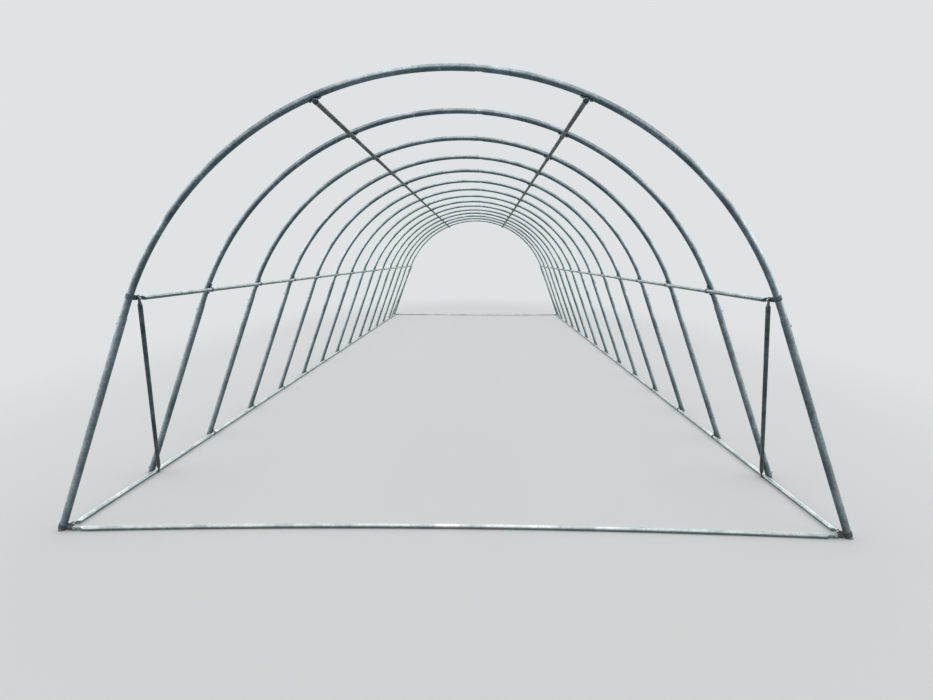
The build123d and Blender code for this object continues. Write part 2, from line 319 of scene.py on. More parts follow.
def zincFinish(name, look):
    # Zinc weathered outdoors: dull cloud on brighter metal, crystal grain, lines drawn along the tube,
    # painted shade on the faces that turn downwards, white bloom in spots, rust at cuts and soil near the
    # ground
    material = bpy.data.materials.new(name)
    material.use_nodes = True
    tree = material.node_tree
    place = addNode(tree, "ShaderNodeTexCoord").outputs["Object"]
    wrap = addNode(tree, "ShaderNodeUVMap", uv_map="wrap")
    height = addNode(tree, "ShaderNodeSeparateXYZ", {0: place}).outputs[2]
    normal = addNode(tree, "ShaderNodeNewGeometry").outputs["Normal"]
    facing = addNode(tree, "ShaderNodeSeparateXYZ", {0: normal}).outputs[2]

    grain = addNode(tree, "ShaderNodeTexVoronoi", {
        "Vector": place, "Scale": 1 / look["spangle"]}, feature="F1")
    grainTone = addNode(tree, "ShaderNodeSeparateColor", {0: grain.outputs["Color"]})
    cloud, speck = (addNode(tree, "ShaderNodeTexNoise", {
        "Vector": place, "Scale": 1 / look[kind], "Detail": look[kind + "Detail"],
        "Roughness": look[kind + "Break"]}) for kind in ("cloud", "speck"))
    drawn = addNode(tree, "ShaderNodeMapping", {
        "Vector": wrap, "Scale": (1 / look["lineGap"], 1 / look["lineLength"], 1.0)})
    lines = addNode(tree, "ShaderNodeTexNoise", {
        "Vector": drawn, "Scale": 1.0, "Detail": look["lineDetail"]})

    shade = addNode(tree, "ShaderNodeAttribute", attribute_name="shade").outputs["Fac"]
    patches = addNode(tree, "ShaderNodeMath", {
        0: shade, 1: look["shadeSpread"], 2: cloud}, operation="MULTIPLY_ADD")
    middle = [end + look["shadeSpread"] / 2 for end in look["toneRange"]]
    tone = addNode(tree, "ShaderNodeMapRange", {"Value": patches, **limits("From", middle)})
    colour = addNode(tree, "ShaderNodeMix", {
        0: tone, 6: linear(look["dull"]), 7: linear(look["bright"])}, data_type="RGBA").outputs[2]
    for pattern, tones in ((grainTone, look["grainTones"]), (lines, look["lineTones"])):
        scaled = addNode(tree, "ShaderNodeMapRange", {"Value": pattern, **limits("To", tones)})
        colour = addNode(tree, "ShaderNodeMix", {
            0: 1.0, 6: colour, 7: scaled}, data_type="RGBA", blend_type="MULTIPLY").outputs[2]
    # painted shade: faces that turn downwards are multiplied towards the underside colour, darker the
    # further down they face
    paintedShade = addNode(tree, "ShaderNodeMapRange", {
        "Value": facing, **limits("From", look["undersideShadeRange"]), **limits("To", (1.0, 0.0))},
        interpolation_type="SMOOTHSTEP")
    colour = addNode(tree, "ShaderNodeMix", {
        0: paintedShade, 6: colour, 7: linear(look["undersideShade"])},
        data_type="RGBA", blend_type="MULTIPLY").outputs[2]

    # bloom in spots anywhere, then rust near the cuts, then soil near the ground
    gap = addNode(tree, "ShaderNodeAttribute", attribute_name="cutGap").outputs["Fac"]
    dirt = 0.0
    for kind, distance in (("bloom", None), ("rust", gap), ("soil", height)):
        share = addNode(tree, "ShaderNodeMapRange", {
            "Value": speck, **limits("From", look[kind + "Spots"]), "To Max": look[kind + "Most"]})
        if distance is not None:
            near = addNode(tree, "ShaderNodeMapRange", {
                "Value": distance, "From Max": look[kind + "Reach"], **limits("To", (1.0, 0.0))})
            share = addNode(tree, "ShaderNodeMath", {0: near, 1: share}, operation="MULTIPLY")
        colour = addNode(tree, "ShaderNodeMix", {
            0: share, 6: colour, 7: linear(look[kind])}, data_type="RGBA").outputs[2]
        dirt = addNode(tree, "ShaderNodeMath", {0: share, 1: dirt}, operation="MAXIMUM")

    bare = addNode(tree, "ShaderNodeMapRange", {
        "Value": dirt, "To Min": look["metallic"], "To Max": 0.0})
    smooth = addNode(tree, "ShaderNodeMapRange", {
        "Value": cloud, **limits("From", look["roughRange"]),
        "To Min": look["roughDull"], "To Max": look["roughBright"]})
    glint = addNode(tree, "ShaderNodeMath", {
        0: grainTone, 1: look["grainGloss"], 2: smooth}, operation="MULTIPLY_ADD")
    rough = addNode(tree, "ShaderNodeMath", {
        0: dirt, 1: look["dirtRough"], 2: glint}, operation="MULTIPLY_ADD")

    # the weld seam stands a little proud on one line along the tube
    across = addNode(tree, "ShaderNodeSeparateXYZ", {0: wrap})
    fromSeam = addNode(tree, "ShaderNodeMath", {0: across, 1: look["seamAt"]}, operation="SUBTRACT")
    beside = addNode(tree, "ShaderNodeMath", {0: fromSeam}, operation="ABSOLUTE")
    seam = addNode(tree, "ShaderNodeMapRange", {
        "Value": beside, **limits("From", look["seamEdges"]), **limits("To", (1.0, 0.0))})
    relief = addNode(tree, "ShaderNodeMath", {
        0: speck, 1: look["speckRelief"], 2: lines}, operation="MULTIPLY_ADD")
    relief = addNode(tree, "ShaderNodeMath", {
        0: seam, 1: look["seamRelief"], 2: relief}, operation="MULTIPLY_ADD")
    bump = addNode(tree, "ShaderNodeBump", {
        "Height": relief, "Strength": look["bumpStrength"], "Distance": look["bumpHeight"]})
    setInputs(tree, tree.nodes["Principled BSDF"], {
        "Base Color": colour, "Metallic": bare, "Roughness": rough, "Normal": bump})
    return material


# Hot-dip galvanised tube: thick zinc that has gone grey, with painted shade darkening its underside.
# Lengths in metres;
# its crystals are about 6 mm wide on real tube and are drawn 11 mm wide, so that they show.
noSeam = -1.0
tubeLook = {
    "dull": "#808d91", "bright": "#afb9bc", "toneRange": (0.36, 0.64), "shadeSpread": 0.16,
    "cloud": 0.16, "cloudDetail": 5.0, "cloudBreak": 0.62,
    "speck": 0.022, "speckDetail": 3.0, "speckBreak": 0.7,
    "spangle": 0.011, "grainTones": (0.80, 1.18), "grainGloss": 0.10,
    "lineGap": 0.005, "lineLength": 0.35, "lineTones": (0.86, 1.12), "lineDetail": 2.0,
    # painted shade: the underside colour darkens faces that turn downwards, between the two upward shares
    # of the normal
    "undersideShade": "#87969c", "undersideShadeRange": (-0.35, 0.36),  # upward share of the surface's normal
    "bloom": "#bcc6c7", "bloomSpots": (0.60, 0.78), "bloomMost": 0.45,
    "rust": "#755844", "rustSpots": (0.35, 0.6), "rustMost": 0.35, "rustReach": 0.006,
    "soil": "#5f5540", "soilSpots": (0.38, 0.62), "soilMost": 0.7, "soilReach": 0.11,
    "metallic": 0.88, "roughDull": 0.42, "roughBright": 0.26, "roughRange": (0.35, 0.65),
    "dirtRough": 0.35, "bumpStrength": 0.35, "bumpHeight": 0.0004, "speckRelief": 0.5,
    "seamAt": 0.031, "seamEdges": (0.0006, 0.0018), "seamRelief": 0.8,
}
# Rail tube of strip galvanised in the coil: thinner, smoother zinc that stays brighter
railLook = dict(
    tubeLook, dull="#95a2a6", bright="#ced7d8", spangle=0.007, grainTones=(0.94, 1.06), cloud=0.22,
    # painted shade: a dark tint on the rails' downward faces
    lineTones=(0.9, 1.1), undersideShade="#5a686d", undersideShadeRange=(-0.1, 0.34), roughDull=0.36,
    roughBright=0.22, seamAt=0.02, bumpHeight=0.0003, soilReach=0.03, bloomMost=0.3)
# Bars and rails on the ground: newer tube of the same kind, still nearly white
# painted shade: a pale tint that darkens the bars' downward faces a little
barLook = dict(railLook, dull="#b6c1c2", bright="#ebf0ef", undersideShade="#a4afb1")
# Purlins: older tube of the same kind, dull and stained; the braces are a little paler
agedLook = dict(
    # painted shade: a tint on the purlins' downward faces
    railLook, dull="#465254", bright="#6f7c7e", undersideShade="#7c888a", bloomMost=0.2, soil="#545a3c",
    soilReach=0.35, soilMost=0.5, metallic=0.7, roughDull=0.6, roughBright=0.42, spangle=0.009,
    grainTones=(0.84, 1.14), cloud=0.1)
# painted shade: a paler tint on the braces' downward faces
braceLook = dict(agedLook, dull="#5f6a6d", bright="#8b9598", undersideShade="#959fa2")
# Straps and bands: strip cut and bent after galvanising, so it is darker, with rust at the cuts
stripLook = dict(
    tubeLook, dull="#46535a", bright="#76848b", spangle=0.008, cloud=0.05, speck=0.008, lineGap=0.003,
    # painted shade: a light tint on the strips' downward faces
    lineLength=0.05, undersideShade="#aab3b6", rustReach=0.004, seamAt=noSeam, roughBright=0.28,
    soilReach=0.05)
# Bolts and screws: bright electroplated zinc, smooth and cold white, with some bloom
boltLook = dict(
    tubeLook, dull="#949ea3", bright="#c9cfd1", spangle=0.02, cloud=0.012, shadeSpread=0.0, speck=0.004,
    # painted shade: a faint tint on the bolts' downward faces
    lineGap=0.002, lineLength=0.01, undersideShade="#cdd3d5", bloomSpots=(0.58, 0.76), bloomMost=0.35,
    rustReach=0.0008, seamAt=noSeam, metallic=0.95, roughDull=0.32, roughBright=0.18,
    bumpHeight=0.0001, soilReach=0.03)
hotDipTube = zincFinish("hotDipGalvanisedTube", tubeLook)
coilRail = zincFinish("coilGalvanisedRail", railLook)
groundRail = zincFinish("newGalvanisedRail", barLook)
agedRail = zincFinish("agedGalvanisedRail", agedLook)
braceRail = zincFinish("dullGalvanisedRail", braceLook)
bentStrip = zincFinish("bentGalvanisedStrip", stripLook)
platedBolt = zincFinish("zincPlatedBolt", boltLook)
print("materials ready")


def newObject(name, data):
    made = bpy.data.objects.new(name, data)
    scene.collection.objects.link(made)
    return made


def makePiece(name, shell, nodes, finish, scale=(1.0, 1.0, 1.0), hoops=None, seed=1):
    # One piece for its CAD nodes; hoops are numbered from 1 and include the last
    first, last = hoops or (1, 1)
    start = hoopY[first - 1] if hoops else 0.0
    piece = newObject(name, meshFrom(name, shell))
    runTree(piece, tunnelTree, {
        "Count": last - first + 1, "Spacing": bay, "Start": start, "Scale": scale,
        "Seed": seed, "Finish": finish})
    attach(piece, "root")
    if nodes:
        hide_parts(*nodes)


sides = {"right": 1.0, "left": -1.0}
ends = {"front": 1.0, "rear": -1.0}


def makeRows(rows, seeds=(1, 1)):
    # Rows of (label, node, shell, finish, hoops) on both sides of the tunnel
    for (side, sign), seed in zip(sides.items(), seeds):
        for label, node, shell, finish, hoops in rows:
            makePiece(side + label, shell, [f"{side}_{node}"], finish, (sign, 1.0, 1.0), hoops,
                      seed)


def makeCorners(label, shell, node, finish):
    # The same piece at the four corners; node is None for a piece that the CAD doesn't have
    for end, way in ends.items():
        for side, sign in sides.items():
            nodes = [f"{end}_{side}_{node}"] if node else []
            makePiece(f"{end}{side.title()}{label}", shell, nodes, finish, (sign, way, 1.0))


# Arch tubes: two to a hoop, the right one narrowed to slide into the left one
arch = {
    "insideLeg": 0.15, "pastCrown": 0.13,  # how far the tubes reach into a leg and past the crown
    "neck": 0.035, "taper": 0.009,  # length of the narrowed end that shows, and of its taper
    "slack": 0.0003,  # between the narrowed end and the tube around it
    "span": 1.8,  # degrees of bend between cross sections
    "startRoom": 0.01, "endRoom": 0.004, "neckRoom": 0.002,  # from an end or a taper to the next ring
}
leg = {"length": 1.3, "footRing": 0.05, "endRoom": 0.004, "longest": 0.25}


def hoopPlace(at):
    seat = seatAt(at)
    return placeAt(seat.translation, direction(seat, 0, 0, 1), direction(seat, 1, 0, 0))


def archPair():
    start = leg["length"] - arch["insideLeg"]
    end = crownAt + arch["pastCrown"]
    neckAt = crownAt - arch["pastCrown"] - arch["neck"]
    bodyEnd = neckAt - arch["taper"]
    outer, inner = archR, archR - wall
    small = inner - arch["slack"]
    smallIn = small - wall
    step = bendRadius * radians(arch["span"])
    nearOut, nearIn = squareEnd(start, -1, outer, inner)
    nearOut.append((start + arch["startRoom"], outer))
    farOut, farIn = squareEnd(end, 1, outer, inner)
    tipOut, tipIn = squareEnd(end, 1, small, smallIn)

    full = end - arch["endRoom"]
    plain = tubeSkin(
        newShell(), hoopPlace,
        nearOut + [(at, outer) for at in spread(straight, full, step)] + farOut,
        farIn + [(at, inner) for at in spread(full, straight, 2 * step)] + nearIn[::-1])

    body, neck, tip = bodyEnd - arch["neckRoom"], neckAt + arch["neckRoom"], end - arch["neckRoom"]
    narrowed = tubeSkin(
        newShell(), hoopPlace,
        nearOut + [(at, outer) for at in spread(straight, body, step)]
        + narrowing(bodyEnd, arch["taper"], outer, small)
        + [(at, small) for at in spread(neck, tip, step)] + tipOut,
        tipIn + [(at, smallIn) for at in spread(tip, neck, 2 * step)]
        + narrowing(neckAt, -arch["taper"], smallIn, inner)
        + [(at, inner) for at in spread(body, straight, 2 * step)] + nearIn[::-1])
    return addShell(narrowed, plain, Matrix.Scale(-1, 4, (1, 0, 0)))


makePiece("archTubes", archPair(), archNodes, hotDipTube, hoops=(1, hoopCount))
print("arches:", 2 * hoopCount, "tubes")


# Legs: straight tube over the foot of each arch, cut level at the ground

def legShell():
    outer, inner = legR, legR - wall
    foot = placeAt(Vector((halfSpread, 0, 0)), Vector((1 / cos(lean), 0, 0)), unitY)
    foot.col[2] = hoopPlace(0.0).col[2]
    stops = spread(leg["footRing"], leg["length"] - leg["endRoom"], leg["longest"])
    topOut, topIn = squareEnd(leg["length"], 1, outer, inner)

    def placeOf(at):
        return foot if at == 0.0 else hoopPlace(at)

    return tubeSkin(newShell(), placeOf, [(0.0, outer)] + [(at, outer) for at in stops] + topOut,
                    topIn + [(at, inner) for at in stops[::-1]] + [(0.0, inner)])


makeRows([("LegTubes", "legs", legShell(), hotDipTube, (1, hoopCount))], (2, 3))
print("legs:", 2 * hoopCount)


# Flattened ends: a tongue with a round tip, opening out to the full tube
flat = {
    "thick": 0.002, "wide": 0.012,  # half sizes of the tongue
    "tongue": 0.03, "flare": 0.03, "flareSteps": 9,
    "tipSteps": 7, "tipTurn": 82.0,  # degrees of the round tip on each side
}
flatClear = flat["tongue"] + flat["flare"]


def tongueRings(bolt, normal, towards, mouth, way, sense, base=0.0):
    # towards points from the bolt to the tube in the tongue's plane, and way along the tube's axis;
    # sense is 1 where the sweep starts at the tongue and -1 where it ends there
    stations = []
    for i in range(flat["tipSteps"] + 1):
        turn = radians(flat["tipTurn"]) * (1 - i / flat["tipSteps"])
        stations.append((-flat["wide"] * sin(turn), flat["wide"] * cos(turn), flat["thick"], 0.0))
    for i in range(flat["flareSteps"] + 1):
        t = i / flat["flareSteps"]
        grown = ease(t)
        stations.append((
            flat["tongue"] + flat["flare"] * t,
            flat["wide"] + (railR - flat["wide"]) * grown,
            flat["thick"] + (railR - flat["thick"]) * grown, grown))
    rings = []
    for s, wide, thick, grown in stations:
        centre = (bolt + towards * s).lerp(mouth + way * (s - flatClear), grown)
        along = sense * towards.lerp(way, grown).normalized()
        across = normal.cross(along).normalized()
        rings.append((slotRing(placeAt(centre, across, along.cross(across)), wide, thick),
                      base + sense * s, s + flat["wide"]))
    return rings if sense > 0 else rings[::-1]


# Rails: three lengths of tube in a row, each narrowed to slide into the next
rail = {
    "lengths": 3, "insert": 0.08, "neck": 0.006, "taper": 0.006, "slack": 0.0003,
    "endRoom": 0.02,  # from the end of a length to its first full ring
    "longest": 1.1,
}
railJoints = [hoopY[round((hoopCount - 1) * i / rail["lengths"])] - bay / 2
              for i in range(1, rail["lengths"])]


def railShell(seat, depth, near, far, tongues=None):
    # seat gives the directions across the rail; tongues holds the bolts of its flattened ends
    outer, inner = railR, railR - wall
    small = inner - rail["slack"]
    axis = seat @ Vector((0, 0, -depth))
    across, normal = direction(seat, 0, 1, 0), direction(seat, 0, 0, 1)

    def placeOf(y):
        return placeAt(Vector((axis.x, y, axis.z)), across, normal)

    def ring(y, r):
        return slotRing(placeOf(y), r, r), y, farFromCut

    places = [near, *railJoints, far]
    shell = newShell()
    for i, (a, b) in enumerate(zip(places, places[1:])):
        first, last = i == 0, i == len(places) - 2
        if last:
            farOut, farIn = squareEnd(b, 1, outer, inner)
        else:
            step = b - rail["neck"]
            tipOut, tipIn = squareEnd(b + rail["insert"], 1, small, small - wall)
            farOut = narrowing(step - rail["taper"], rail["taper"], outer, small) + tipOut
            farIn = tipIn + narrowing(step, -rail["taper"], small - wall, inner)
        nearOut, nearIn = squareEnd(a, -1, outer, inner)
        stops = spread(a + rail["endRoom"], b - rail["endRoom"], rail["longest"])
        out = [(y, outer) for y in stops]
        back = [(y, inner) for y in stops[::-1]]
        if tongues and first:
            mouth = placeOf(a).translation
            rings = tongueRings(tongues[0], normal, unitY, mouth, unitY, 1, a - flatClear)
            addSkin(shell, rings + [ring(y, r) for y, r in out + farOut + farIn + back])
        elif tongues and last:
            mouth = placeOf(b).translation
            rings = [ring(y, r) for y, r in back + nearIn[::-1] + nearOut + out]
            addSkin(shell, rings + tongueRings(
                tongues[1], normal, -unitY, mouth, -unitY, -1, b + flatClear))
        else:
            tubeSkin(shell, placeOf, nearOut + out + farOut, farIn + back + nearIn[::-1])
    return shell


# Where the rails cross the hoops, and how their ends are bolted up
crossing = {
    "sideRail": 1.42, "purlin": 2.94,  # along the hoop from the ground
    "boltAt": 0.05,  # from an end hoop's axis to the bolt in its lug
    "strip": 0.0025,  # thickness of straps and bands
    "purlinOverhang": 0.025, "lugReach": 0.064, "bandHigh": 0.028,
}
sideAt, purlinAt, boltAt, strip = (crossing[key] for key in ("sideRail", "purlin", "boltAt", "strip"))
baseDepth = legR + seatGap + railR
baseAt = (railR + seatGap + baseDepth * sin(lean)) / cos(lean)
sideDepth = archR + seatGap + railR


def lugFace(hoopR, layers=0):
    # From the hoop's axis to the middle of a tongue stacked on the lug of its band
    return hoopR + 2 * seatGap + 2 * strip + flat["thick"] + layers * (2 * flat["thick"] + seatGap)


def boltedRail(at, hoopR, depth):
    seat = seatAt(at)
    reach = -hoopY[0] - boltAt
    bolt = seat @ Vector((0, 0, -lugFace(hoopR)))
    bolts = [bolt - Vector((0, reach, 0)), bolt + Vector((0, reach, 0))]
    return railShell(seat, depth, flatClear - reach, reach - flatClear, bolts)


sideRail = boltedRail(sideAt, archR, sideDepth)
baseRail = boltedRail(baseAt, legR, baseDepth)
purlinReach = -hoopY[0] + crossing["purlinOverhang"]
purlin = railShell(seatAt(purlinAt), sideDepth, -purlinReach, purlinReach)
makeRows([("SideRailTube", "side_rail", sideRail, coilRail, None),
          ("BaseRailTube", "base_rail", baseRail, groundRail, None),
          ("RoofPurlinTube", "roof_purlin", purlin, agedRail, None)])
print("rails: 6, each in", rail["lengths"], "lengths")


# Corner braces: from the side rail's end to the foot of the next hoop
brace = {"footLift": 0.006}


def braceShell():
    topSeat, footSeat = seatAt(sideAt, hoopY[0]), seatAt(baseAt, hoopY[1])
    top = topSeat @ Vector((boltAt, 0, -lugFace(archR, 1)))
    footDepth = legR + 2 * (seatGap + railR) + seatGap + flat["thick"]
    foot = footSeat @ Vector((0, brace["footLift"], -footDepth))
    run = (foot - top).normalized()
    rings = []
    for bolt, seat, sense in ((top, topSeat, 1), (foot, footSeat, -1)):
        normal = direction(seat, 0, 0, 1)
        way = run * sense
        towards = (way - normal * way.dot(normal)).normalized()
        base = 0.0 if sense > 0 else (foot - top).length
        rings += tongueRings(bolt, normal, towards, bolt + way * flatClear, way, sense, base)
    return addSkin(newShell(), rings), foot


braceTube, braceFoot = braceShell()
makeCorners("BraceTube", braceTube, "brace", braceRail)


# Ground bars: a tube across each end, bowed a little inwards, bolted to a plate at each foot
groundBar = {"bow": 0.09, "spans": 40, "plateThick": 0.005, "plateCorner": 0.008}
barZ = railR + seatGap
barLegX = halfSpread - barZ * sin(lean) / cos(lean)
barY = hoopY[0] - groundBar["plateThick"] - seatGap - flat["thick"]


def groundBarShell():
    boltX = barLegX - legR - boltAt
    chord = boltX - flatClear
    bowRadius = (chord ** 2 + groundBar["bow"] ** 2) / (2 * groundBar["bow"])
    halfTurn = acos((bowRadius - groundBar["bow"]) / bowRadius)
    centreY = barY + groundBar["bow"] - bowRadius
    rings = []
    for sense in (1, -1):
        bolt = Vector((-sense * boltX, barY, barZ))
        mouth = Vector((-sense * chord, barY, barZ))
        way = Vector((sense * cos(halfTurn), sin(halfTurn), 0))
        rings += tongueRings(bolt, Vector((0, -1, 0)), Vector((sense, 0, 0)), mouth, way, sense,
                             -sense * boltX)
        if sense > 0:
            for i in range(1, groundBar["spans"]):
                turn = halfTurn * (1 - 2 * i / groundBar["spans"])
                centre = Vector((-bowRadius * sin(turn), centreY + bowRadius * cos(turn), barZ))
                outward = Vector((sin(turn), -cos(turn), 0))
                ring = slotRing(placeAt(centre, unitZ, outward), railR, railR)
                rings.append((ring, centre.x, farFromCut))
    return addSkin(newShell(), rings), boltX


barTube, barBoltX = groundBarShell()
for end, way in ends.items():
    makePiece(end + "GroundBarTube", barTube, [end + "_ground_bar"], groundRail,
              (1.0, way, 1.0))
print("braces: 4, ground bars: 2")


# Strip work: each strap is laid out in runs and bends, as its maker bends it
stripWork = {
    "runCuts": 4, "shortestRun": 0.0001,
    "bendStep": 12.0,  # degrees between cross sections
    "cornerSteps": 5, "chamfer": 0.12,  # chamfer as a share of the strip's thickness
}


def bentLine(start, heading, moves):
    # moves are (length,) or (radius, degrees) for a bend; stations are (point, heading, distance)
    x, y = start
    angle, far = radians(heading), 0.0
    stations = [((x, y), angle, far)]
    for move in moves:
        if len(move) == 1:
            longest = max(move[0], stripWork["shortestRun"]) / stripWork["runCuts"]
            for cut in spread(0.0, move[0], longest)[1:]:
                stations.append(((x + cut * cos(angle), y + cut * sin(angle)), angle, far + cut))
            x, y, far = x + move[0] * cos(angle), y + move[0] * sin(angle), far + move[0]
        else:
            radius, turn = move[0], radians(move[1])
            side = 1 if turn > 0 else -1
            centre = (x - side * radius * sin(angle), y + side * radius * cos(angle))
            for cut in spread(0.0, turn, radians(stripWork["bendStep"]))[1:]:
                now = angle + cut
                spot = (centre[0] + side * radius * sin(now), centre[1] - side * radius * cos(now))
                stations.append((spot, now, far + radius * abs(cut)))
            (x, y), angle, far = spot, angle + turn, far + radius * abs(turn)
    return stations


def stripShell(plane, stations, wide, thick, corner):
    # plane holds the bent line in its x and y, and the strip's width along its z
    total, chamfer, t = stations[-1][2], stripWork["chamfer"] * thick, thick / 2
    steps = stripWork["cornerSteps"]
    cuts = [corner * (1 - cos(radians(90) * i / steps)) for i in range(steps)]
    line = []
    for (p, a, s), (q, b, e) in zip(stations, stations[1:]):
        line.append((p, a, s))
        for cut in cuts + [total - c for c in cuts]:
            if s < cut < e and a == b:
                share = (cut - s) / (e - s)
                line.append(((p[0] + (q[0] - p[0]) * share, p[1] + (q[1] - p[1]) * share), a, cut))
    line.append(stations[-1])
    line.sort(key=lambda station: station[2])
    rings = []
    for (x, y), angle, s in line:
        gap = min(s, total - s)
        inset = max(corner - gap, 0.0)
        half = wide / 2 - corner + sqrt(corner ** 2 - inset ** 2)
        here = placeAt(Vector((x, y, 0)), Vector((0, 0, -1)), Vector((-sin(angle), cos(angle), 0)))
        outline = [
            (half, -t + chamfer), (half, t - chamfer), (half - chamfer, t), (-half + chamfer, t),
            (-half, t - chamfer), (-half, -t + chamfer), (-half + chamfer, -t), (half - chamfer, -t)]
        rings.append(([plane @ here @ Vector((u, v, 0)) for u, v in outline], s, gap))
    return addSkin(newShell(), rings)


strap = {"wide": 0.025, "ear": 0.02, "earBend": 0.003, "corner": 0.005, "hookWrap": 30.0}
strapR = railR + seatGap + strip / 2
strapReach = railR + seatGap + strip + strap["ear"]


def strapShell(at, earDepth, railDepth, wrap, bothEars):
    # An ear on the hoop, wrap degrees round the rail and, on a strap, an ear above it
    bend = strap["earBend"]
    ear, rise = (strapReach - strapR - bend,), (railDepth - earDepth - bend,)
    moves = [ear, (bend, 90), rise, (strapR, -wrap)]
    if bothEars:
        moves += [rise, (bend, 90), ear]
    # x up along the hoop, y outward, z back along the tunnel's axis
    plane = seatAt(at) @ Matrix(((0, 0, 1, 0), (1, 0, 0, 0), (0, 1, 0, 0), (0, 0, 0, 1)))
    line = bentLine((strapReach, -earDepth), 180, moves)
    return stripShell(plane, line, strap["wide"], strip, strap["corner"])


earRise = strapReach ** 2 / (2 * bendRadius)
saddles = [strapShell(at, archR + seatGap + earRise + strip / 2, sideDepth, 180, True)
           for at in (sideAt, purlinAt)]
hook = strapShell(baseAt, legR + seatGap + strip / 2, baseDepth, 90 + strap["hookWrap"], False)
sideHoops, purlinHoops, hookHoops = runs = (2, hoopCount - 1), (1, hoopCount), (3, hoopCount - 2)
makeRows([("SideRailStraps", "side_rail_straps", saddles[0], bentStrip, sideHoops),
          ("PurlinStraps", "purlin_straps", saddles[1], bentStrip, purlinHoops),
          ("BaseRailHooks", "base_rail_hooks", hook, bentStrip, hookHoops)])
print("straps and hooks:", 2 * sum(last - first + 1 for first, last in runs))


# Bands round the end hoops, with the strip's two ends bolted together as a lug
lugBend = {
    "joggle": 0.006, "outerBend": 0.004, "lead": 0.0055, "corner": 0.006,
    "layerGap": 0.0001,  # between the two layers of the lug
}


def bandShell(seat, hoopR):
    ringR = hoopR + seatGap + strip / 2
    reach = crossing["lugReach"]
    bend = lugBend["joggle"]
    step = strip + lugBend["layerGap"]
    slant = degrees(acos(1 - step / (2 * bend)))
    joggle = 2 * bend * sin(radians(slant))
    outer = lugBend["outerBend"]
    line = bentLine((reach, -ringR - step), 180, [
        (reach - joggle - lugBend["lead"],), (bend, -slant), (bend, slant), (lugBend["lead"],),
        (ringR, -270), (ringR - outer,), (outer, 90), (reach - ringR - outer,)])
    plane = seat @ Matrix(((1, 0, 0, 0), (0, 0, -1, 0), (0, 1, 0, 0), (0, 0, 0, 1)))
    return stripShell(plane, line, crossing["bandHigh"], strip, lugBend["corner"])


def barPlateShell():
    # Flat lug on the foot band for the ground bar, across the front of the hoop
    ringEdge = (legR + seatGap + strip) / cos(lean)
    start = barLegX - ringEdge + strip
    end = barLegX - legR - crossing["lugReach"]
    line = bentLine((start, 0), 180, [(start - end,)])
    plane = Matrix.Translation((0, hoopY[0] - groundBar["plateThick"] / 2, barZ))
    return stripShell(plane, line, 2 * flat["wide"], groundBar["plateThick"], groundBar["plateCorner"])


bands = bandShell(seatAt(sideAt, hoopY[0]), archR)
addShell(bands, bandShell(seatAt(baseAt, hoopY[0]), legR))
addShell(bands, barPlateShell())
makeCorners("Bands", bands, "bands", bentStrip)
print("end bands: 4 pairs")


# Turned pieces: caps, bolts and screws

def turnedSkin(shell, profile, count=12, cutGap=0.001):
    # profile holds (height, radius, share of a hexagon); 0 is round and 1 has flats
    rings = []
    for z, r, hexShare in profile:
        points = []
        for k in range(count):
            a = 2 * pi * k / count
            toFlat = (a + pi / 6) % (pi / 3) - pi / 6
            radius = r * (1 + hexShare * (1 / cos(toFlat) - 1))
            points.append(Vector((radius * cos(a), radius * sin(a), z)))
        rings.append((points, z, cutGap))
    return addSkin(shell, rings)


# A cap pressed into each end of the purlins
endCap = {
    "stem": 0.012, "flange": 0.0015, "dome": 0.0012, "slack": 0.0002,
    "domeRings": ((0.7, 0.8), (1.0, 0.4)),  # shares of the dome's height and of the cap's radius
}


def endCapShell():
    centre = seatAt(purlinAt) @ Vector((0, 0, -sideDepth))
    inner, outer = railR - wall - endCap["slack"], railR - burr
    profile = [(-endCap["stem"], inner, 0.0), (0.0, inner, 0.0), (0.0, outer, 0.0),
               (endCap["flange"], outer, 0.0)]
    profile += [(endCap["flange"] + endCap["dome"] * high, outer * wide, 0.0)
                for high, wide in endCap["domeRings"]]
    shell = turnedSkin(newShell(), profile, tubeSides, farFromCut)
    outward = placeAt(Vector((centre.x, -purlinReach, centre.z)), unitX, unitZ)
    return addShell(newShell(), shell, outward)


makeCorners("PurlinCap", endCapShell(), None, agedRail)
print("purlin caps: 4")


# Bolts, and screws of their own size at the hoops' joints
fastener = {
    "shankR": 0.004, "flatR": 0.0065, "head": 0.0053, "nut": 0.0065, "washerR": 0.008, "washer": 0.0016,
    "threadOut": 0.004, "tipLength": 0.001, "screwFlatR": 0.004, "screwHead": 0.004,
    "flangeR": 0.0058, "flange": 0.001, "washerSides": 16, "sharpAngle": 28,
    "tipShare": 0.8, "flangeShare": 0.94,  # of the radius that they taper from
    "headEdge": 0.12, "headFootShare": 0.97, "headTopShare": 0.93,
}
jointScrew = {
    "size": 1.4,  # next to a strap's screw
    "belowLegTop": 0.045, "beforeTubeEnd": 0.014,
}


def hexHead(shell, base, height, flatR, way):
    edge = fastener["headEdge"] * height
    profile = [(base, flatR * fastener["headFootShare"], 0.0), (base + way * edge, flatR, 1.0),
               (base + way * (height - edge), flatR, 1.0),
               (base + way * height, flatR * fastener["headTopShare"], 0.0)]
    turnedSkin(shell, profile if way > 0 else profile[::-1])


def boltShell(grip):
    # Bolt through a grip centred on the origin, head up
    shankR, washer = fastener["shankR"], fastener["washer"]
    top = grip / 2
    tip = top + washer + fastener["nut"] + fastener["threadOut"]
    shell = turnedSkin(newShell(), [
        (-tip, shankR * fastener["tipShare"], 0.0), (-tip + fastener["tipLength"], shankR, 0.0),
        (top + washer, shankR, 0.0)])
    for way in (1, -1):
        ring = [(way * top, fastener["washerR"], 0.0), (way * (top + washer), fastener["washerR"], 0.0)]
        turnedSkin(shell, ring if way > 0 else ring[::-1], fastener["washerSides"])
    hexHead(shell, top + washer, fastener["head"], fastener["flatR"], 1)
    hexHead(shell, -top - washer, fastener["nut"], fastener["flatR"], -1)
    return shell


